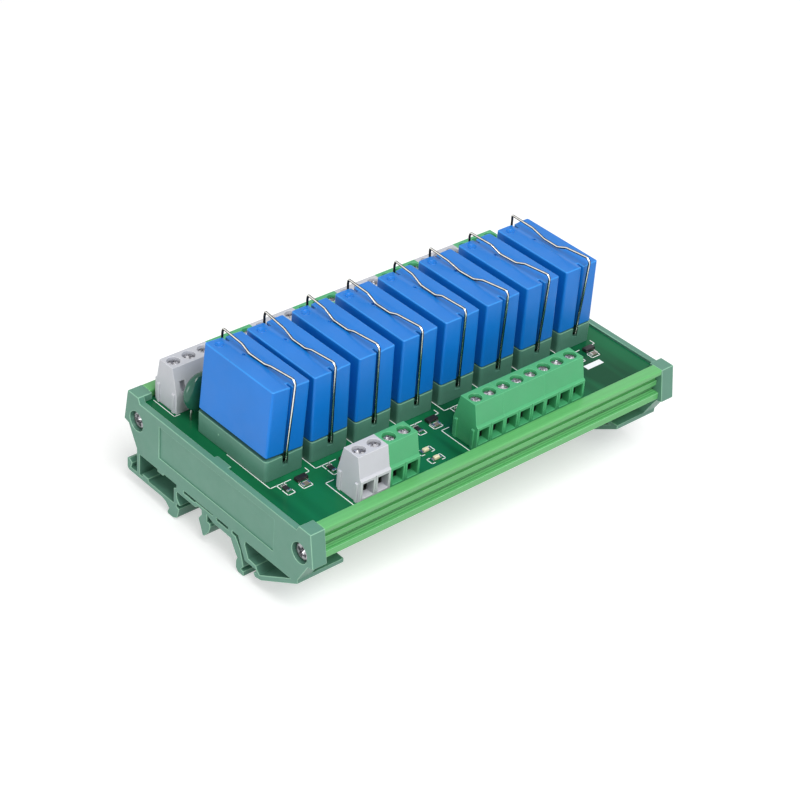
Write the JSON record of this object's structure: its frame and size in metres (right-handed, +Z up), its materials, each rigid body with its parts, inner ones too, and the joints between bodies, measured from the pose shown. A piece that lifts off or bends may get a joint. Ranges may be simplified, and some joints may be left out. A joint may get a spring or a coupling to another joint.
{
  "type": "relay module board",
  "caption": "Relay interface board in a tray carrier with snap feet for a mounting rail: plug-in relays held by wire clips, with screw terminals along both long sides.",
  "frame": {"origin": "centre of the footprint at the level of the foot tips", "axes": "+X along the tray, +Y from the supply terminals towards the relay outputs, +Z up off the board"},
  "size_m": [0.1334, 0.0824, 0.0586],
  "materials": {
    "tray_green": "satin extruded plastic",
    "plate_green": "satin moulded plastic",
    "board_green": "glossy solder mask",
    "socket_green": "satin moulded plastic",
    "relay_blue": "satin moulded plastic",
    "terminal_green": "satin moulded plastic",
    "terminal_grey": "satin moulded plastic",
    "bright_steel": "bright plated wire and screws",
    "tinned_metal": "tinned",
    "varistor_green": "glossy dipped coating",
    "chip_black": "moulded black",
    "chip_pale": "pale body",
    "lamp_clear": "clear lens"
  },
  "bodies": {
    "root": {"chip_diodes": "chip_pale", "chip_resistors": "chip_black", "circuit_board": "board_green", "end_plate_left": "plate_green", "end_plate_right": "plate_green", "end_plate_screws": "bright_steel", "indicator_lamps": "lamp_clear", "input_terminal_1": "terminal_green", "input_terminal_2": "terminal_green", "input_terminal_3": "terminal_green", "output_terminal_1": "terminal_grey", "output_terminal_2": "terminal_green", "output_terminal_3": "terminal_grey", "output_terminal_4": "terminal_green", "output_terminal_5": "terminal_grey", "output_terminal_6": "terminal_green", "output_terminal_7": "terminal_grey", "output_terminal_8": "terminal_green", "relay_1": "relay_blue", "relay_2": "relay_blue", "relay_3": "relay_blue", "relay_4": "relay_blue", "relay_5": "relay_blue", "relay_6": "relay_blue", "relay_7": "relay_blue", "relay_8": "relay_blue", "relay_blades": "tinned_metal", "relay_socket_1": "socket_green", "relay_socket_2": "socket_green", "relay_socket_3": "socket_green", "relay_socket_4": "socket_green", "relay_socket_5": "socket_green", "relay_socket_6": "socket_green", "relay_socket_7": "socket_green", "relay_socket_8": "socket_green", "retaining_clip_1": "bright_steel", "retaining_clip_2": "bright_steel", "retaining_clip_3": "bright_steel", "retaining_clip_4": "bright_steel", "retaining_clip_5": "bright_steel", "retaining_clip_6": "bright_steel", "retaining_clip_7": "bright_steel", "retaining_clip_8": "bright_steel", "supply_terminal_1": "terminal_grey", "supply_terminal_2": "terminal_green", "terminal_screws_front": "bright_steel", "terminal_screws_rear": "bright_steel", "transistors": "chip_black", "tray_profile": "tray_green", "varistors": "varistor_green", "wire_clamps_front": "tinned_metal", "wire_clamps_rear": "tinned_metal"}
  },
  "joints": []
}
